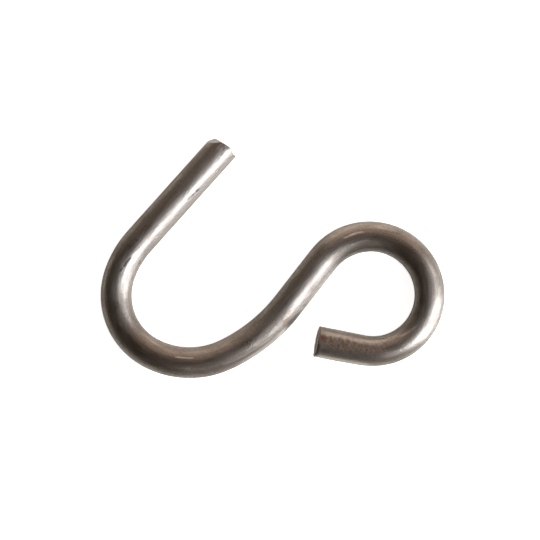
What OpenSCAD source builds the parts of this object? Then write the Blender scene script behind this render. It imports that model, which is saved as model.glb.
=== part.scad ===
// S hook bent from one length of round steel wire. An open hook ends in a straight leg,
// and the other end is turned back on itself into an eye. It lies flat on its side.

/* [Wire] */
// Diameter of the wire
wire_d = 4.5; // [3:0.1:5]

/* [Hook] */
// Straight leg, from its cut end to the start of the bend
leg_len = 18.8; // [14:0.1:30]
// Radius of the wire's middle line where the leg runs into the bend
entry_r = 13.8; // [11:0.1:20]
// Angle of that easier start of the bend
entry_turn = 23; // [15:1:35]
// Radius of the hook bend, on the wire's middle line
hook_r = 9.4; // [8:0.1:12]
// Angle of the hook bend
hook_turn = 82; // [70:1:95]
// Radius at the heel, where the hook bend opens out
heel_r = 12.1; // [10:0.1:15]
// Angle of the heel
heel_turn = 52; // [40:1:60]

/* [Middle] */
// Radius of the long sweep from the heel to the straight middle
sweep_r = 24.7; // [18:0.1:35]
// Angle of the sweep
sweep_turn = 27; // [20:1:35]
// Straight stretch between the sweep and the eye
middle_len = 8.3; // [7:0.1:16]

/* [Eye] */
// Radius of the first part of the eye, on the wire's middle line
shoulder_r = 8.6; // [8:0.05:11]
// Angle of the first part of the eye
shoulder_turn = 114; // [100:1:120]
// Radius of the rest of the eye
eye_r = 8.15; // [7.5:0.05:10]
// Angle of the rest of the eye
eye_turn = 129; // [110:1:135]
// Straight tail that closes the eye, to its cut end
tail_len = 6.7; // [3:0.1:8]

/* [Cut ends] */
// How far off the wire's middle line the ridge of the leg's end lies
ridge_off = 0.9; // [0:0.1:1.2]
// Slant of the leg's cut on the outer side of the ridge, in degrees
leg_slant = 9; // [0:1:15]
// Slant of the leg's cut on the inner side of the ridge, in degrees
leg_break = 29; // [10:1:40]
// Length of the flat that the cutter left on the leg's outer corner
flat_len = 1.5; // [1:0.05:2]
// Angle of that flat to the cut, in degrees
flat_angle = 50; // [40:1:60]
// How far the flat leans up, in degrees
flat_lean = 12; // [0:1:15]
// How far the tail's cut leans up, in degrees
tail_lean = 5; // [0:1:12]

/* [Hidden] */

// The stretches in order: [length, 0] is straight, [radius, angle] turns left,
// and a negative radius turns right
stretches = [
  [leg_len, 0], [entry_r, entry_turn], [hook_r, hook_turn], [heel_r, heel_turn],
  [sweep_r, sweep_turn], [middle_len, 0],
  [-shoulder_r, shoulder_turn], [-eye_r, eye_turn], [tail_len, 0]
];
last = len(stretches) - 1;
hook_bend = 2;
eye_bend = 7;

// Every second stretch is slimmer by a hair and runs a little into its neighbours, so
// that surfaces cross squarely at each joint and the wire is one solid
hair = 0.02;
lap = 0.1;

// A place on the wire is [x, y, heading]. This one lies d along a stretch from p
function along(p, s, d) = s[1] == 0
  ? [p.x + d * cos(p.z), p.y + d * sin(p.z), p.z]
  : let (h = p.z + d / s[0] * 180 / PI)
    [p.x + s[0] * (sin(h) - sin(p.z)), p.y - s[0] * (cos(h) - cos(p.z)), h];
function run_of(s) = s[1] == 0 ? s[0] : abs(s[0]) * s[1] * PI / 180;
function walk(p, i) = i > last
  ? [p] : concat([p], walk(along(p, stretches[i], run_of(stretches[i])), i + 1));
function centre(path, i) =
  [path[i].x - stretches[i][0] * sin(path[i].z), path[i].y + stretches[i][0] * cos(path[i].z)];

// The wire is turned so that the line through the hook and the eye lies along X
first = walk([0, 0, 0], 0);
pull = centre(first, eye_bend) - centre(first, hook_bend);
path = walk([0, 0, -atan2(pull.y, pull.x)], 0);

// The planes that cut the leg's end, each with a point on it, its turn about Z and its
// lean up, and where the cut wire then starts along X
leg_planes = [
  [[0, ridge_off, 0], leg_slant, 0],
  [[0, ridge_off, 0], -leg_break, 0],
  [[flat_len, -wire_d / 2, 0], flat_angle, flat_lean]
];
function leg_start(y, z) = max([for (p = leg_planes)
  p[0].x - ((y - p[0].y) * sin(p[1]) - (z - p[0].z) * tan(p[2])) / cos(p[1])]);

// The wire's reach along X and Y: the rim of the cut leg, and both sides of the middle
// line at places spread over every later stretch
leg_rim = [for (a = [0 : 5 : 355])
  let (y = cos(a) * wire_d / 2, x = leg_start(y, sin(a) * wire_d / 2), h = path[0].z)
  [x * cos(h) - y * sin(h), x * sin(h) + y * cos(h)]];
steps = 90;
sides = [for (i = [1 : last], k = [0 : steps], side = [-1, 1])
  let (p = along(path[i], stretches[i], run_of(stretches[i]) * k / steps))
  [p.x, p.y] + side * [sin(p.z), cos(p.z)] * wire_d / 2];
edge_x = [for (p = concat(leg_rim, sides)) p.x];
edge_y = [for (p = concat(leg_rim, sides)) p.y];
middle = [min(edge_x) + max(edge_x), min(edge_y) + max(edge_y)] / 2;

// One stretch of wire from the origin along +X, run on by lap at both ends if it is slim
module stretch(s, slim) {
  d = slim ? wire_d - hair : wire_d;
  more = slim ? lap : 0;
  more_turn = s[1] == 0 ? 0 : more / abs(s[0]) * 180 / PI;
  if (s[1] == 0)
    translate([-more, 0, 0]) rotate([0, 90, 0]) cylinder(h = s[0] + 2 * more, d = d, $fn = 64);
  else
    translate([0, s[0], 0])
      rotate([0, 0, (s[0] > 0 ? -90 : 90 - s[1]) - more_turn])
        rotate_extrude(angle = s[1] + 2 * more_turn, $fn = 180)
          translate([abs(s[0]), 0]) circle(d = d, $fn = 64);
}

// Everything on the -X side of a plane at a point, turned about Z and leaned up
module beyond(point, turn, lean) {
  side = 3 * wire_d;
  translate(point) rotate([0, 0, turn]) rotate([0, lean, 0])
    translate([-side, -side / 2, -side / 2]) cube(side);
}

module hook() {
  color("dimgray") translate([-middle.x, -middle.y, wire_d / 2])
    for (i = [0 : last])
      translate([path[i].x, path[i].y, 0]) rotate([0, 0, path[i].z])
        difference() {
          stretch(stretches[i], i % 2 == 1);
          if (i == 0) for (p = leg_planes) beyond(p[0], p[1], p[2]);
          if (i == last) beyond([tail_len, 0, 0], 180, tail_lean);
        }
}

hook();
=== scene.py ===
import math

import bmesh
import bpy
import numpy as np
from mathutils import Euler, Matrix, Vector, noise


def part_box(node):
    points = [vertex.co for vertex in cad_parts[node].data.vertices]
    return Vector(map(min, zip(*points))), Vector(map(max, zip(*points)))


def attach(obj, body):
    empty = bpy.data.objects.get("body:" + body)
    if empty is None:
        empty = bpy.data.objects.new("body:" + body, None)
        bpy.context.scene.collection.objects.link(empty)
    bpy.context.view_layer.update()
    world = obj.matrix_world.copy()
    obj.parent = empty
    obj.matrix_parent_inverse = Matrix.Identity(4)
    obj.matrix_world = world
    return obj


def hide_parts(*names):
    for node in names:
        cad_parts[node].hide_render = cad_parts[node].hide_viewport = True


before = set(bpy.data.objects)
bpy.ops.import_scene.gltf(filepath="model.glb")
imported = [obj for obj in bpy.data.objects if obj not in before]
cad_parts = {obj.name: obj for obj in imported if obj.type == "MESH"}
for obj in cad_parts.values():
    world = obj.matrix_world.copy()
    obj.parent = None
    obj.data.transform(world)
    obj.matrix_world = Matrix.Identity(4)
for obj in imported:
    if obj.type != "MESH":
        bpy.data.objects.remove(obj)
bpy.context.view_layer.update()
mm = 0.001

# The bent wire, in millimetres and degrees, from the cut end of the leg to the end of the tail
wire = {
    "radius": 2.25,
    # (length, 0) runs straight, (radius, angle) bends left, and a minus radius bends right
    "stretches": [(18.8, 0), (13.8, 23), (9.4, 82), (12.1, 52), (24.7, 27), (8.3, 0),
                  (-8.6, 114), (-8.15, 129), (6.7, 0)],
    "hookBend": 2,  # which of the stretches are the hook bend and the tighter bend of the eye
    "eyeBend": 7,
    "easing": 2.5,  # length over which one stretch runs into the next
    "lineStep": 0.01,  # how far apart the points of the middle line are worked out
    "pathStep": 10,  # the path that is swept keeps one in so many of them
    "ringSpacing": 0.14,
    "sides": 96,
    "squeeze": 0.035,  # share of its width that the wire loses in plan round the eye
    "squeezeFrom": 72.0,  # where along the wire the squeeze starts and ends
    "squeezeTo": 102.0,
    "squeezeEase": 6.0,
    "wobble": 0.010,  # how far the surface wanders from a true round
    "wobbleSize": 5.0,  # length of its waves
    "seed": 4.0,
}


def stretchLength(size, turn):
    return size if turn == 0 else abs(size) * math.radians(turn)


# Positions and headings along the wire's middle line, from (0, 0) towards +X
def traceLine(easing):
    step = wire["lineStep"]
    bends = []
    for size, turn in wire["stretches"]:
        count = round(stretchLength(size, turn) / step)
        bends.append(np.full(count, math.copysign(math.radians(turn), size) / (count * step)))
    bend = np.concatenate(bends)
    if easing:
        window = np.hanning(round(easing / step) + 2)
        half = len(window) // 2
        bend = np.convolve(np.pad(bend, half), window / window.sum(), "same")[half:-half]
    heading = np.concatenate([[0], np.cumsum(bend) * step])
    between = (heading[1:] + heading[:-1]) / 2
    moves = np.stack([np.cos(between), np.sin(between)], axis=1) * step
    return np.concatenate([[[0, 0]], np.cumsum(moves, axis=0)]), heading


# Centre of a bend, from its first point
def bendCentre(points, heading, index):
    before = sum(stretchLength(*stretch) for stretch in wire["stretches"][:index])
    start = round(before / wire["lineStep"])
    size = wire["stretches"][index][0]
    return points[start] + size * np.array([-math.sin(heading[start]), math.cos(heading[start])])


# The middle line in the part's frame: the line through hook and eye lies along X, and the
# wire is centred along X in the CAD node's box and touches the box's side towards -Y
def placeLine():
    plain = traceLine(0)
    pull = bendCentre(*plain, wire["eyeBend"]) - bendCentre(*plain, wire["hookBend"])
    turn = -math.atan2(pull[1], pull[0])
    points, heading = traceLine(wire["easing"])
    spin = np.array([[math.cos(turn), -math.sin(turn)], [math.sin(turn), math.cos(turn)]])
    points = points @ spin.T
    low, high = (np.array(corner[:2]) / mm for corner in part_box("hook"))
    across = (low[0] + high[0] - points[:, 0].min() - points[:, 0].max()) / 2
    up = low[1] + wire["radius"] - points[:, 1].min()
    return points + (across, up), heading + turn


linePoints, lineHeading = placeLine()
lineLength = wire["lineStep"] * (len(linePoints) - 1)
print("middle line:", round(lineLength, 2), "mm long")


def addNode(tree, kind, inputs=None, **settings):
    made = tree.nodes.new(kind)
    for name, value in settings.items():
        setattr(made, name, value)
    for name, value in (inputs or {}).items():
        if isinstance(value, bpy.types.NodeSocket):
            tree.links.new(value, made.inputs[name])
        else:
            made.inputs[name].default_value = value
    return made


# Sweeps a round section along the path, squeezes it a little round the eye and keeps, as
# "unbent", where each point would lie if the wire were still straight
def sweepTree():
    tree = bpy.data.node_groups.new("sweepWire", "GeometryNodeTree")
    kinds = {"Path": "NodeSocketGeometry", "Wire Radius": "NodeSocketFloat",
             "Ring Spacing": "NodeSocketFloat", "Sides": "NodeSocketInt",
             "Squeeze": "NodeSocketFloat", "Squeeze From": "NodeSocketFloat",
             "Squeeze To": "NodeSocketFloat", "Squeeze Ease": "NodeSocketFloat",
             "Wobble": "NodeSocketFloat", "Wobble Size": "NodeSocketFloat",
             "Seed": "NodeSocketFloat", "Finish": "NodeSocketMaterial"}
    for name, kind in kinds.items():
        tree.interface.new_socket(name=name, in_out="INPUT", socket_type=kind)
    tree.interface.new_socket(name="Wire", in_out="OUTPUT", socket_type="NodeSocketGeometry")
    given = tree.nodes.new("NodeGroupInput").outputs

    def number(operation, first, second):
        return addNode(tree, "ShaderNodeMath", {0: first, 1: second}, operation=operation).outputs[0]

    def vector(operation, first, second):
        made = addNode(tree, "ShaderNodeVectorMath", {0: first, 1: second}, operation=operation)
        return made.outputs["Value" if operation == "DOT_PRODUCT" else "Vector"]

    def scaled(direction, amount):
        return addNode(tree, "ShaderNodeVectorMath", {0: direction, "Scale": amount},
                       operation="SCALE").outputs[0]

    def store(geometry, name, kind, value):
        return addNode(tree, "GeometryNodeStoreNamedAttribute",
                       {"Geometry": geometry, "Name": name, "Value": value},
                       data_type=kind, domain="POINT").outputs[0]

    def read(name, kind):
        return addNode(tree, "GeometryNodeInputNamedAttribute", {"Name": name},
                       data_type=kind).outputs["Attribute"]

    # the path as evenly spaced rings, each with its place and its sideways direction
    rings = addNode(tree, "GeometryNodeResampleCurve",
                    {"Curve": given["Path"], "Length": given["Ring Spacing"]}, mode="LENGTH")
    upright = addNode(tree, "GeometryNodeSetCurveNormal", {"Curve": rings.outputs[0]}, mode="Z_UP")
    place = addNode(tree, "GeometryNodeInputPosition").outputs[0]
    tangent = addNode(tree, "GeometryNodeInputTangent").outputs[0]
    path = store(upright.outputs[0], "alongWire", "FLOAT",
                 addNode(tree, "GeometryNodeSplineParameter").outputs["Length"])
    path = store(path, "middle", "FLOAT_VECTOR", place)
    path = store(path, "sideways", "FLOAT_VECTOR", vector("CROSS_PRODUCT", (0, 0, 1), tangent))

    section = addNode(tree, "GeometryNodeCurvePrimitiveCircle",
                      {"Resolution": given["Sides"], "Radius": given["Wire Radius"]}, mode="RADIUS")
    swept = addNode(tree, "GeometryNodeCurveToMesh",
                    {"Curve": path, "Profile Curve": section.outputs["Curve"]}).outputs[0]

    offset = vector("SUBTRACT", place, read("middle", "FLOAT_VECTOR"))
    across = vector("DOT_PRODUCT", offset, read("sideways", "FLOAT_VECTOR"))
    height = addNode(tree, "ShaderNodeSeparateXYZ", {0: offset}).outputs["Z"]
    unbent = addNode(tree, "ShaderNodeCombineXYZ",
                     {"X": read("alongWire", "FLOAT"), "Y": across, "Z": height}).outputs[0]
    kept = store(swept, "unbent", "FLOAT_VECTOR", unbent)

    # narrower in plan between the two ends of the squeeze
    def ramp(start, low, high):
        end = number("ADD", start, given["Squeeze Ease"])
        return addNode(tree, "ShaderNodeMapRange",
                       {"Value": read("alongWire", "FLOAT"), "From Min": start, "From Max": end,
                        "To Min": low, "To Max": high}, interpolation_type="SMOOTHSTEP").outputs[0]

    between = number("MULTIPLY", ramp(given["Squeeze From"], 0, 1), ramp(given["Squeeze To"], 1, 0))
    narrower = number("MULTIPLY", number("MULTIPLY", across, given["Squeeze"]), between)
    squeezed = vector("SUBTRACT", (0, 0, 0), scaled(read("sideways", "FLOAT_VECTOR"), narrower))

    # a slow wander of the surface, as drawing and handling leave it
    waves = vector("DIVIDE", read("unbent", "FLOAT_VECTOR"), given["Wobble Size"])
    wander = addNode(tree, "ShaderNodeTexNoise",
                     {"Vector": waves, "W": given["Seed"], "Scale": 1.0, "Detail": 1.0},
                     noise_dimensions="4D").outputs[0]
    depth = number("MULTIPLY", number("SUBTRACT", wander, 0.5), given["Wobble"])
    wobbled = scaled(addNode(tree, "GeometryNodeInputNormal").outputs[0], depth)
    shaped = addNode(tree, "GeometryNodeSetPosition",
                     {"Geometry": kept, "Offset": vector("ADD", squeezed, wobbled)}).outputs[0]

    for name in ("alongWire", "middle", "sideways"):
        shaped = addNode(tree, "GeometryNodeRemoveAttribute",
                         {"Geometry": shaped, "Name": name}).outputs[0]
    smooth = addNode(tree, "GeometryNodeSetShadeSmooth", {"Geometry": shaped}).outputs[0]
    real = addNode(tree, "GeometryNodeRealizeInstances", {"Geometry": smooth}).outputs[0]
    finished = addNode(tree, "GeometryNodeSetMaterial", {"Geometry": real, "Material": given["Finish"]})
    out = tree.nodes.new("NodeGroupOutput")
    tree.links.new(finished.outputs[0], out.inputs[0])
    return tree


# The middle line as a curve object, at the height of the wire's middle
def pathObject():
    low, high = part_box("hook")
    picked = np.concatenate([linePoints[:-1:wire["pathStep"]], linePoints[-1:]]) * mm
    curve = bpy.data.curves.new("wirePath", "CURVE")
    curve.dimensions = "3D"
    spline = curve.splines.new("POLY")
    spline.points.add(len(picked) - 1)
    for point, (x, y) in zip(spline.points, picked):
        point.co = (x, y, (low.z + high.z) / 2, 1)
    path = bpy.data.objects.new("wirePath", curve)
    bpy.context.scene.collection.objects.link(path)
    return path


def sweepWire(finish):
    path = pathObject()
    modifier = path.modifiers.new("sweep", "NODES")
    tree = sweepTree()
    modifier.node_group = tree
    sizes = {"Wire Radius": wire["radius"] * mm, "Ring Spacing": wire["ringSpacing"] * mm,
             "Sides": wire["sides"], "Squeeze": wire["squeeze"],
             "Squeeze From": wire["squeezeFrom"] * mm, "Squeeze To": wire["squeezeTo"] * mm,
             "Squeeze Ease": wire["squeezeEase"] * mm, "Wobble": wire["wobble"] * mm,
             "Wobble Size": wire["wobbleSize"] * mm, "Seed": wire["seed"], "Finish": finish}
    for item in tree.interface.items_tree:
        if item.in_out == "INPUT" and item.name in sizes:
            modifier[item.identifier] = sizes[item.name]
    graph = bpy.context.evaluated_depsgraph_get()
    mesh = bpy.data.meshes.new_from_object(path.evaluated_get(graph))
    bpy.data.objects.remove(path)
    return mesh


# The sheared ends. A plane is (point along, point across, turn, lean), measured from the
# end into the wire, and what lies before any of the planes is cut away
legCut = {
    "planes": [(-0.08, 0.9, 9, 0), (-0.08, 0.9, -29, 0), (1.42, -2.25, 50, 12)],
    "crease": 0.02,  # softness of the ridges between the facets
    "edge": 0.05,  # rounding of the rim
    "crown": 0.0,  # how far the middle of the cut stands out of its rim
    "tear": 0.06,  # roughness of the sheared metal
    "burrs": [(79, 6, 0.05, 0.42)],  # (degrees from the top, half width, out, forward)
    "seed": 2.0,
    "torn": 0.3,  # how much of the torn metal's colour the face shows
    "tornBehind": (0, 0.0),  # the same behind the face: on how many rings, and how much
}
tailCut = {
    "planes": [(0.0, 0.0, 0, 5)],
    "crease": 0.02,
    "edge": 0.10,
    "crown": 0.06,
    "tear": 0.05,
    "burrs": [(84, 26, 0.03, 0.09), (-84, 9, 0.03, 0.06)],
    "seed": 7.0,
    "torn": 1.0,
    "tornBehind": (4, 0.5),
}
# What both cuts share
shearing = {
    "reach": 4.0,  # how far along the wire the rings lean with the cut
    "closeRings": 12,  # rings that close up towards the rim
    "faceRings": 20,  # rings across the cut face
    "grain": [(1.8, 0.8, 1.0), (5.0, 1.6, 0.5)],  # waves per mm across and downwards, height
    "grainFade": 6,  # how fast the torn grain fades behind the rim
    "burrLength": 0.2,  # how far a burr reaches back from the rim
    "teeth": (6, 0.5),  # how close together a burr's teeth stand, and how high
    "rimJoin": 8,  # how late the face bends to meet the rim
}

# Marks of making, handling and rust, with painted highlights, painted light rims and a painted
# reflection among them, by where they lie along the wire (mm) and how far round it from the top
# (degrees, to the left of travel)
marks = {
    # (along, degrees, half length, half width, depth), all but the degrees in mm
    "dents": [
        (7.75, 40, 0.5, 0.14, 0.03), (8.6, 38, 0.45, 0.12, 0.03), (9.4, 35, 0.4, 0.12, 0.02),
        (22.7, 7, 0.4, 0.16, 0.04), (21.4, 59, 0.3, 0.18, 0.03), (64.3, 64, 0.8, 0.1, 0.03),
        (0.75, 6, 0.35, 0.22, 0.03), (0.25, 14, 0.3, 0.2, 0.03), (1.5, 13, 0.35, 0.09, 0.04),
        (2.3, 17, 0.3, 0.1, 0.03),
    ],
    # the same with an amount from 0 to 1 in place of the depth
    # painted reflection: the rusty tail end, mirrored light brown in the wire's side
    "stain": [(58.6, -36, 0.8, 0.5, 0.8)],
    "rust": [(104.0, -7, 3.2, 0.85, 0.9), (107.8, -8, 3.6, 0.95, 1.0), (101.6, -7, 1.0, 0.5, 0.9)],
    "redRust": [(110.15, -17, 0.5, 0.5, 0.9)],
    # thin lines, from (along, degrees) to (along, degrees), with half width (mm) and amount
    "darkLines": [
        (21.3, 13, 22.3, 9, 0.16, 1.0), (22.2, 8, 23.1, 6, 0.2, 1.0),
        (23.1, 5, 24.0, 0, 0.15, 1.0), (7.5, 41, 7.9, 39, 0.16, 1.0),
        (8.4, 39, 8.8, 37, 0.14, 0.8), (0.3, 8, 1.2, 6, 0.2, 0.4), (1.3, 13, 1.8, 13, 0.12, 0.6),
        (0.1, 20, 0.5, 14, 0.15, 0.3), (101.8, 26, 110.6, 26, 0.45, 0.3),
        (94.5, -4, 101.2, -7, 0.2, 0.4), (110.7, 5, 110.8, 58, 0.4, 0.9),
        (23.9, 57, 24.7, 62, 0.3, 0.35),
    ],
    # the narrow ones are scratches and thin light lines, the one from 48.0 a painted highlight line
    # along the edge of a highlight; the broad weak ones are painted highlights and painted light rims,
    # which lighten the steel where a highlight or a light rim falls
    "brightLines": [
        (41.3, 18.75, 44.1, 18.75, 0.09, 1.0), (48.0, -32, 56.0, -42, 0.1, 0.5),
        (72.8, 15, 74.5, 15, 0.09, 1.0), (73.7, 18.75, 75.6, 18.75, 0.09, 1.0),
        (73.1, -22, 76.3, -13, 0.11, 0.4), (95.0, -15, 98.0, -28, 0.12, 0.6),
        (0.2, -10, 0.9, -12, 0.14, 1.0), (0.8, -12, 1.5, -11, 0.14, 1.0),
        (0.8, 1, 1.3, -3, 0.1, 0.7), (31.6, -5, 31.8, -4, 0.14, 0.8),
        # from here on the broad weak lines are painted highlights and painted light rims, and the one
        # from 55.8 is a painted reflection: it lightens the wire's mirrored image of the tail end
        (20.0, 25, 22.6, 18, 0.4, 0.65), (22.4, 18, 24.2, 12, 0.4, 0.65),
        (24.0, 11, 28.5, 3, 0.45, 0.5), (101.0, -37, 110.3, -38, 0.42, 0.4),
        (0.0, 78, 0.5, 80, 0.2, 1.0), (0.0, 19, 20.0, 15, 0.95, 0.26),
        (0.0, 58, 19.0, 54, 0.45, 0.25), (60.5, -6, 69.0, -7, 0.6, 0.35),
        (50.0, -66, 69.0, -66, 0.5, 0.5), (55.8, -70, 61.8, -67, 0.6, 1.0),
        (103.0, 64, 110.6, 64, 0.35, 0.5), (110.5, 70, 110.8, 88, 0.3, 0.8),
        (94.0, 34, 101.5, 17, 0.5, 0.4), (98.8, 20, 99.2, 20, 0.2, 0.7),
    ],
    "dentShade": 0.6,  # how dark the dents are
    # how far noise breaks up the edges of each kind, and its waves per mm
    "broken": {"dents": 0.5, "stain": 0.8, "rust": 0.8, "redRust": 0.5},
    "waves": 2.3,
    "extent": 1.5,  # where a mark ends, in half sizes, or a line, in half widths
    "fade": 1.5,  # how fast a mark fades towards there
    "lineTips": 0.3,  # how strongly a line shows at its tips
    "lineSwell": 8,  # how fast it strengthens away from them
}


# How far in from the wire's end its cut lies, in mm, at a place on the section
def cutDepth(cut, across, height):
    depths = []
    for pointAlong, pointAcross, turn, lean in cut["planes"]:
        turn, lean = math.radians(turn), math.radians(lean)
        slope = (across - pointAcross) * math.sin(turn) - height * math.tan(lean)
        depths.append(pointAlong - slope / math.cos(turn))
    depth = cut["crease"] * np.logaddexp.reduce(np.array(depths) / cut["crease"])
    spread = (across**2 + height**2) / wire["radius"] ** 2
    return depth - cut["crown"] * (1 - spread)


# Torn grain of the sheared metal, drawn out from top to bottom
def tearing(cut, across, height):
    places = zip(across.ravel(), height.ravel())
    grain = [sum(size * noise.noise(Vector((a * wavesAcross, h * wavesDown, cut["seed"])))
                 for wavesAcross, wavesDown, size in shearing["grain"]) for a, h in places]
    return cut["tear"] * np.reshape(grain, across.shape)


# How large each ring of a cut face is, from its middle out, as a share of the rim
def faceShares():
    return np.arange(shearing["faceRings"]) / shearing["faceRings"]


# Cuts one end and closes it. Each ring holds (along, across, height) in mm, along is measured
# from the end, and the rings come back with those of the cut face before them
def closeEnd(cut, rings):
    radius, edge, reach = wire["radius"], cut["edge"], shearing["reach"]
    toothWaves, toothHeight = shearing["teeth"]
    rings = rings.copy()
    spacing = rings[1, 0, 0] - rings[0, 0, 0]
    packed = np.arange(shearing["closeRings"] + 1)
    rings[packed, :, 0] = (spacing * packed**2 / shearing["closeRings"])[:, None]
    near = rings[:, 0, 0] < reach
    behind, across, height = np.moveaxis(rings[near], -1, 0)
    around = np.arctan2(across, height)
    inward = behind * (1 - cutDepth(cut, across, height) / reach)
    over = np.clip(1 - inward / edge, 0, 1)
    shrink = 1 - edge / radius * (1 - np.sqrt(1 - over**2))
    lift = np.zeros(behind.shape)
    for degrees, halfWidth, out, forward in cut["burrs"]:
        off = (around - math.radians(degrees)) / math.radians(halfWidth)
        teeth = 1 + toothHeight * np.sin(off * toothWaves)
        burr = np.exp(-off**2) * teeth * np.exp(-behind / shearing["burrLength"])
        shrink = shrink + burr * out / radius
        lift = lift - burr * forward
    across, height = across * shrink, height * shrink
    lift = lift + tearing(cut, across, height) * (1 - behind / reach) ** shearing["grainFade"]
    along = inward + cutDepth(cut, across, height) + lift
    rings[near] = np.stack([along, across, height], axis=-1)

    share = faceShares()[:, None]
    across, height = rings[0, :, 1] * share, rings[0, :, 2] * share
    along = cutDepth(cut, across, height) + tearing(cut, across, height)
    # the face meets the rim, burrs included
    rimGap = rings[0, :, 0] - cutDepth(cut, *rings[0, :, 1:].T) - tearing(cut, *rings[0, :, 1:].T)
    face = np.stack([along + rimGap * share ** shearing["rimJoin"], across, height], axis=-1)
    return np.concatenate([face, rings])


# The same rings, measured from the other end of the wire
def fromOtherEnd(rings):
    return rings[::-1] * (-1, 1, 1) + (lineLength, 0, 0)


# Bends places (along, across, height) on the straight wire into the part's frame, in mm
def bendPlaces(places):
    along, across, height = np.moveaxis(places, -1, 0)
    lineAlong = np.arange(len(linePoints)) * wire["lineStep"]
    inside = np.clip(along, 0, lineLength)
    beyond = along - inside
    turned = np.interp(inside, lineAlong, lineHeading)
    ahead, aside = np.cos(turned), np.sin(turned)
    x = np.interp(inside, lineAlong, linePoints[:, 0]) + beyond * ahead - across * aside
    y = np.interp(inside, lineAlong, linePoints[:, 1]) + beyond * aside + across * ahead
    return np.stack([x, y, height + wire["radius"]], axis=-1)


# How strongly a list of marks shows at each place, up to their own amount or depth, with
# edges broken up by noise
def markStrength(places, items, broken):
    strength = np.zeros(places.shape[:-1])
    around = np.arctan2(places[..., 1], places[..., 2])
    searched = marks["extent"] + 1
    for along, degrees, halfLength, halfWidth, amount in items:
        lengthwise = (places[..., 0] - along) / halfLength
        crosswise = (around - math.radians(degrees)) * wire["radius"] / halfWidth
        near = (abs(lengthwise) < searched) & (abs(crosswise) < searched)
        wear = [noise.noise(Vector(place * marks["waves"])) for place in places[near]]
        distance = np.sqrt(lengthwise[near] ** 2 + crosswise[near] ** 2) + broken * np.array(wear)
        shown = amount * np.clip(marks["extent"] - distance, 0, 1) ** marks["fade"]
        strength[near] = np.maximum(strength[near], shown)
    return strength


# The same for thin lines between two places
def lineStrength(places, lines):
    strength = np.zeros(places.shape[:-1])
    sideways = np.arctan2(places[..., 1], places[..., 2]) * wire["radius"]
    for fromAlong, fromDegrees, toAlong, toDegrees, halfWidth, amount in lines:
        start = np.array([fromAlong, math.radians(fromDegrees) * wire["radius"]])
        run = np.array([toAlong, math.radians(toDegrees) * wire["radius"]]) - start
        offset = np.stack([places[..., 0], sideways], axis=-1) - start
        share = np.clip(offset @ run / (run @ run), 0, 1)
        distance = np.linalg.norm(offset - share[..., None] * run, axis=-1)
        taper = np.clip(marks["lineSwell"] * share * (1 - share) + marks["lineTips"], 0, 1)
        shown = amount * taper * np.clip(marks["extent"] - distance / halfWidth, 0, 1)
        strength = np.maximum(strength, shown)
    return strength


def readVectors(items, name):
    values = np.zeros(len(items) * 3)
    items.foreach_get(name, values)
    return values


def writeFloats(mesh, name, values):
    mesh.attributes.new(name, "FLOAT", "POINT").data.foreach_set("value", values.ravel())


# A UV map whose U runs along the wire, for the direction of its drawn grain
def layGrain(mesh, places):
    rings, sides = places.shape[:2]
    along = np.linspace(0, 1, rings)
    around = np.arange(sides + 1) / sides
    corners = np.zeros((rings - 1, sides, 4, 2))
    corners[:, :, :2, 0] = along[:-1, None, None]
    corners[:, :, 2:, 0] = along[1:, None, None]
    corners[:, :, [0, 3], 1] = around[:-1, None]
    corners[:, :, [1, 2], 1] = around[1:, None]
    mesh.uv_layers.new(name="grain").data.foreach_set("uv", corners.ravel())


# What the finish needs to know, kept on the mesh's points
def keepMarks(mesh, places):
    kept = mesh.attributes.new("unbent", "FLOAT_VECTOR", "POINT")
    kept.data.foreach_set("vector", (places * mm).ravel())
    torn = np.zeros(places.shape[:2])
    faceRings = shearing["faceRings"]
    for cut, rings in ((legCut, torn), (tailCut, torn[::-1])):
        ringsBehind, tornBehind = cut["tornBehind"]
        rings[:faceRings] = cut["torn"]
        rings[faceRings:faceRings + ringsBehind] = tornBehind
    writeFloats(mesh, "cut", torn)
    shaded = [dent[:4] + (marks["dentShade"],) for dent in marks["dents"]]
    scuffs = np.maximum(markStrength(places, shaded, marks["broken"]["dents"]),
                        lineStrength(places, marks["darkLines"]))
    writeFloats(mesh, "scuff", scuffs)
    # rust, red rust, and the painted reflection of the tail end
    for kind in ("stain", "rust", "redRust"):
        writeFloats(mesh, kind, markStrength(places, marks[kind], marks["broken"][kind]))
    # scratches, painted highlights and painted light rims
    writeFloats(mesh, "bright", lineStrength(places, marks["brightLines"]))


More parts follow.
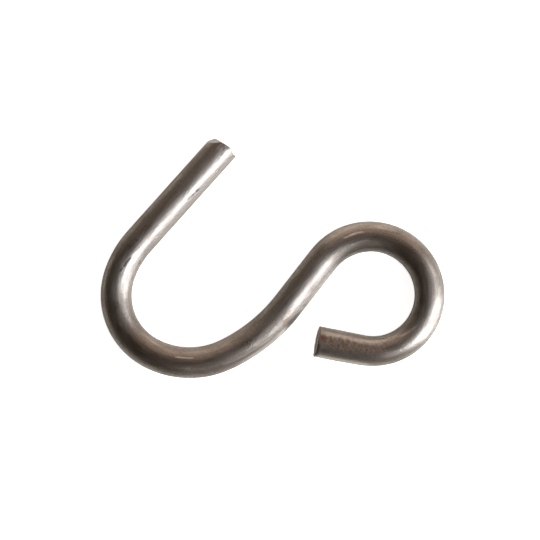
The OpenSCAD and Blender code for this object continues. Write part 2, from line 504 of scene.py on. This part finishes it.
# The whole hook: the swept wire with its ends cut and closed and its dents pressed in
def makeHook(finish):
    swept = sweepWire(finish)
    sides = wire["sides"]
    straight = readVectors(swept.attributes["unbent"].data, "vector").reshape(-1, sides, 3) / mm
    points = readVectors(swept.vertices, "co").reshape(-1, sides, 3)
    # the squeeze and the wobble, as moves from the plain round wire
    drift = points / mm - bendPlaces(straight)

    places = closeEnd(legCut, straight)
    places = fromOtherEnd(closeEnd(tailCut, fromOtherEnd(places)))
    share = faceShares()[:, None, None]
    drift = np.concatenate([drift[0] * share, drift, drift[-1] * share[::-1]])
    depth = markStrength(places, marks["dents"], marks["broken"]["dents"])
    left = 1 - depth / wire["radius"]
    dented = places * np.stack([np.ones_like(left), left, left], axis=-1)
    points = (bendPlaces(dented) + drift) * mm

    rings = len(places)
    index = np.arange(rings * sides).reshape(rings, sides)
    beside = np.roll(index, -1, axis=1)
    faces = np.stack([index[:-1], beside[:-1], beside[1:], index[1:]], axis=-1).reshape(-1, 4)
    mesh = bpy.data.meshes.new("hook")
    mesh.from_pydata(points.reshape(-1, 3), [], faces.tolist())
    layGrain(mesh, places)
    keepMarks(mesh, places)
    mesh.materials.append(finish)
    bpy.data.meshes.remove(swept)

    # the innermost ring of each cut face becomes one point
    samePlace = 1e-7
    shape = bmesh.new()
    shape.from_mesh(mesh)
    bmesh.ops.remove_doubles(shape, verts=shape.verts, dist=samePlace)
    for face in shape.faces:
        face.smooth = True
    shape.to_mesh(mesh)
    shape.free()
    hook = bpy.data.objects.new("wireHook", mesh)
    bpy.context.scene.collection.objects.link(hook)
    return hook


# Drawn steel with a thin brownish film, and the colours of its rust and marks, of painted highlights
# and light rims, and of a painted reflection
steel = {
    "clean": (0.310, 0.286, 0.262, 1),
    "filmed": (0.132, 0.114, 0.099, 1),
    # colour of scratches, and of painted highlights and painted light rims
    "scratchAndHighlight": (0.55, 0.52, 0.49, 1),
    "rust": (0.150, 0.100, 0.062, 1),
    "darkRust": (0.034, 0.020, 0.014, 1),
    "redRust": (0.120, 0.052, 0.048, 1),
    # painted reflection of the rusty tail end, light brown
    "stain": (0.165, 0.130, 0.100, 1),
    "cut": (0.125, 0.118, 0.100, 1),
    "mark": (0.026, 0.023, 0.022, 1),
    "markShown": 0.85,  # share of that colour in the darkest marks
    "rustMetal": 0.2,  # how metallic the rust still is
    # the film lies in blotches and streaks, with speckle over both
    "streakShare": 0.55,
    "speckleShare": 0.38,
    "roughness": (0.22, 0.56),
    "roughSpeckle": 0.5,  # share of speckle, against blotches, in the roughness
    "scratchAndHighlightRoughness": 0.3,
    "dullRoughness": 0.6,  # of rust, dark marks and torn metal
    "lowAngle": 0.9,  # share of the roughness that is left at the lowest angle
    "anisotropy": 0.72,  # the drawn lines spread light across the wire
    "grainTurn": 0.25,  # a quarter turn, from along the wire to across it
    "sheen": (1.0, 0.18),  # pale bloom of the dull surface at a low angle: amount and roughness
    "lineDepth": 0.005,
    "pitDepth": 0.014,
    # noise on the straight wire: its size along and across the wire in mm, its detail, its
    # seed, and the stretch of it that is spread over 0 to 1
    "patterns": {
        "blotches": (3.0, 1.0, 3.0, 1.0, 0.3, 0.7),
        "streaks": (3.0, 0.14, 2.0, 2.0, 0.3, 0.7),
        "speckle": (0.26, 0.17, 2.0, 3.0, 0.3, 0.7),
        "tailReflectionGrain": (0.6, 0.3, 3.0, 4.0, 0.1, 0.4),
        "rustGrain": (0.6, 0.45, 3.0, 5.0, 0.3, 0.52),
        "rustTones": (0.26, 0.26, 3.0, 9.0, 0.35, 0.65),
        "tornGrain": (0.5, 0.25, 3.0, 6.0, 0.1, 0.6),
        "drawnLines": (5.0, 0.16, 1.0, 7.0, 0.3, 0.7),
        "pits": (0.32, 0.24, 3.0, 8.0, 0.3, 0.7),
    },
}


def patternNoise(tree, name):
    along, across, detail, seed, low, high = steel["patterns"][name]
    unbent = addNode(tree, "ShaderNodeAttribute", attribute_name="unbent").outputs["Vector"]
    scale = (1 / (along * mm), 1 / (across * mm), 1 / (across * mm))
    placed = addNode(tree, "ShaderNodeMapping", {"Vector": unbent, "Scale": scale}).outputs[0]
    made = addNode(tree, "ShaderNodeTexNoise",
                   {"Vector": placed, "W": seed, "Scale": 1.0, "Detail": detail},
                   noise_dimensions="4D").outputs[0]
    return addNode(tree, "ShaderNodeMapRange",
                   {"Value": made, "From Min": low, "From Max": high}).outputs[0]


def shadeMath(tree, operation, first, second):
    return addNode(tree, "ShaderNodeMath", {0: first, 1: second}, operation=operation,
                   use_clamp=True).outputs[0]


# A Mix node's colour sockets have the same names as its number sockets, so they go by index
def mixColour(tree, share, first, second):
    return addNode(tree, "ShaderNodeMix", {"Factor": share, 6: first, 7: second},
                   data_type="RGBA").outputs[2]


def mixNumber(tree, share, first, second):
    return addNode(tree, "ShaderNodeMix", {"Factor": share, 2: first, 3: second},
                   data_type="FLOAT").outputs[0]


def wireSteel():
    material = bpy.data.materials.new("wireSteel")
    material.use_nodes = True
    tree = material.node_tree
    shader = tree.nodes["Principled BSDF"]

    def painted(name):
        return addNode(tree, "ShaderNodeAttribute", attribute_name=name).outputs["Fac"]

    def paintedGrain(name, pattern):
        return shadeMath(tree, "MULTIPLY", painted(name), patternNoise(tree, pattern))

    blotches = patternNoise(tree, "blotches")
    speckle = patternNoise(tree, "speckle")
    drawn = mixNumber(tree, steel["streakShare"], blotches, patternNoise(tree, "streaks"))
    drawn = mixNumber(tree, steel["speckleShare"], drawn, speckle)
    uneven = mixNumber(tree, steel["roughSpeckle"], blotches, speckle)
    # scratches, with painted highlights and painted light rims, all from the bright lines
    scratchAndHighlight = painted("bright")
    # painted reflection of the rusty tail end in the wire's side
    reflectedTail = paintedGrain("stain", "tailReflectionGrain")
    rusted = paintedGrain("rust", "rustGrain")
    scuffed = shadeMath(tree, "MULTIPLY", painted("scuff"), steel["markShown"])
    torn = paintedGrain("cut", "tornGrain")
    rust = mixColour(tree, patternNoise(tree, "rustTones"), steel["darkRust"], steel["rust"])

    colour = mixColour(tree, drawn, steel["clean"], steel["filmed"])
    for share, shown in ((scratchAndHighlight, steel["scratchAndHighlight"]), (reflectedTail, steel["stain"]), (rusted, rust),
                         (painted("redRust"), steel["redRust"]), (scuffed, steel["mark"]),
                         (torn, steel["cut"])):
        colour = mixColour(tree, share, colour, shown)
    tree.links.new(colour, shader.inputs["Base Color"])
    tree.links.new(mixNumber(tree, rusted, 1.0, steel["rustMetal"]), shader.inputs["Metallic"])

    roughness = mixNumber(tree, uneven, *steel["roughness"])
    roughness = mixNumber(tree, scratchAndHighlight, roughness, steel["scratchAndHighlightRoughness"])
    dull = shadeMath(tree, "MAXIMUM", shadeMath(tree, "MAXIMUM", rusted, scuffed), torn)
    roughness = mixNumber(tree, dull, roughness, steel["dullRoughness"])
    # a rough surface mirrors more sharply at a low angle
    low = addNode(tree, "ShaderNodeLayerWeight", {"Blend": 0.5}).outputs["Facing"]
    sharpened = shadeMath(tree, "MULTIPLY", roughness, steel["lowAngle"])
    tree.links.new(mixNumber(tree, low, roughness, sharpened), shader.inputs["Roughness"])

    shader.inputs["Anisotropic"].default_value = steel["anisotropy"]
    shader.inputs["Anisotropic Rotation"].default_value = steel["grainTurn"]
    sheenAmount, sheenRoughness = steel["sheen"]
    shader.inputs["Sheen Weight"].default_value = sheenAmount
    shader.inputs["Sheen Roughness"].default_value = sheenRoughness
    grain = addNode(tree, "ShaderNodeTangent", direction_type="UV_MAP", uv_map="grain")
    tree.links.new(grain.outputs[0], shader.inputs["Tangent"])

    relief = addNode(tree, "ShaderNodeBump",
                     {"Height": patternNoise(tree, "drawnLines"), "Strength": 1.0,
                      "Distance": steel["lineDepth"] * mm})
    relief = addNode(tree, "ShaderNodeBump",
                     {"Height": patternNoise(tree, "pits"), "Strength": 1.0,
                      "Distance": steel["pitDepth"] * mm, "Normal": relief.outputs[0]})
    tree.links.new(relief.outputs[0], shader.inputs["Normal"])
    return material


hook = makeHook(wireSteel())
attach(hook, "root")
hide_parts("hook")
print("hook made:", len(hook.data.polygons), "faces")

# A pale, slightly glossy table under soft light. The key light comes from the front right, in
# boxes stacked from high up down to the table. Warm cards stand behind and to the left, a
# weak one in front, and the room around them is dark, which the wire mirrors
cool = (0.97, 1.0, 1.05)
mild = (1.05, 0.99, 0.97)
warm = (1.2, 0.97, 0.82)
studio = {
    "tableSize": 1.6,  # metres
    "table": (0.80, 0.79, 0.77, 1),
    "tableShown": 0.9,  # added to the table's own shading, where the camera sees it
    "tableRoughness": 0.25,
    "tableMirrored": (1.25, 1.25, 1.15, 1),  # its colour as the wire mirrors it
    "room": (0.05, 0.03, 0.015, 1),
    "lampDistance": 0.6,  # from the middle of the table, in metres
    # direction seen from above (degrees from +X, to the left), degrees from straight up, half
    # width and half height in degrees, brightness, colour
    "lamps": {
        "keyBox": (-30, 50, 16, 8, 15, cool),
        "keySide": (5, 62, 20, 8, 7, cool),
        "keyFoot": (-20, 85, 20, 4, 16, cool),
        "wideBox": (-15, 60, 32, 25, 1, mild),
        "backStrip": (85, 80, 40, 8, 2.5, warm),
        "backCard": (95, 45, 25, 15, 1, warm),
        "sideCard": (40, 60, 15, 20, 0.8, warm),
        "frontCard": (-75, 50, 20, 20, 0.75, mild),
        "leftCard": (135, 75, 15, 10, 0.35, warm),
    },
}


def makeTable():
    material = bpy.data.materials.new("paleTable")
    material.use_nodes = True
    tree = material.node_tree
    shader = tree.nodes["Principled BSDF"]
    ray = addNode(tree, "ShaderNodeLightPath").outputs
    mirrored = shadeMath(tree, "MAXIMUM", ray["Is Glossy Ray"], ray["Is Transmission Ray"])
    colour = mixColour(tree, mirrored, studio["table"], studio["tableMirrored"])
    tree.links.new(colour, shader.inputs["Base Color"])
    shown = shadeMath(tree, "MULTIPLY", ray["Is Camera Ray"], studio["tableShown"])
    tree.links.new(shown, shader.inputs["Emission Strength"])
    shader.inputs["Emission Color"].default_value = (1, 1, 1, 1)
    shader.inputs["Roughness"].default_value = studio["tableRoughness"]
    half = studio["tableSize"] / 2
    mesh = bpy.data.meshes.new("table")
    mesh.from_pydata([(-half, -half, 0), (half, -half, 0), (half, half, 0), (-half, half, 0)], [],
                     [(0, 1, 2, 3)])
    mesh.materials.append(material)
    table = bpy.data.objects.new("table", mesh)
    bpy.context.scene.collection.objects.link(table)


def makeRoom():
    world = bpy.data.worlds.new("room")
    world.use_nodes = True
    tree = world.node_tree
    background = tree.nodes["Background"]
    seen = addNode(tree, "ShaderNodeLightPath").outputs["Is Camera Ray"]
    colour = mixColour(tree, seen, studio["room"], (1, 1, 1, 1))
    tree.links.new(colour, background.inputs["Color"])
    bpy.context.scene.world = world


def makeLamps():
    away = studio["lampDistance"]
    for name, (around, down, halfWidth, halfHeight, brightness, colour) in studio["lamps"].items():
        around, down = math.radians(around), math.radians(down)
        width, height = (2 * away * math.tan(math.radians(half)) for half in (halfWidth, halfHeight))
        outward = Vector((math.cos(around) * math.sin(down), math.sin(around) * math.sin(down),
                          math.cos(down)))
        light = bpy.data.lights.new(name, "AREA")
        light.shape = "RECTANGLE"
        light.size = width
        light.size_y = height
        light.energy = brightness * math.pi * width * height  # watts, for that brightness
        light.color = colour
        lamp = bpy.data.objects.new(name, light)
        lamp.location = outward * away
        lamp.rotation_euler = outward.to_track_quat("Z", "Y").to_euler()
        lamp.visible_camera = False
        bpy.context.scene.collection.objects.link(lamp)


makeTable()
makeRoom()
makeLamps()
print("table, room and lamps made")

# The camera looks straight down from half a metre above the wire's middle. Sizes are in mm
camera = {
    "x": -0.4,
    "y": -1.7,
    "height": 500.0,
    "turn": -0.3,  # degrees, to the left
    "viewWidth": 77.9,  # what it takes in from side to side, at the wire's middle
    "sensor": 36.0,
    "near": 10.0,
    "far": 20000.0,
}
lens = bpy.data.cameras.new("camera")
lens.sensor_width = camera["sensor"]
lens.lens = camera["sensor"] * camera["height"] / camera["viewWidth"]
lens.clip_start = camera["near"] * mm
lens.clip_end = camera["far"] * mm
eye = bpy.data.objects.new("camera", lens)
eye.location = (camera["x"] * mm, camera["y"] * mm, (camera["height"] + wire["radius"]) * mm)
eye.rotation_euler = Euler((0, 0, math.radians(camera["turn"])))
bpy.context.scene.collection.objects.link(eye)
bpy.context.scene.camera = eye
bpy.context.scene.view_settings.view_transform = "Standard"
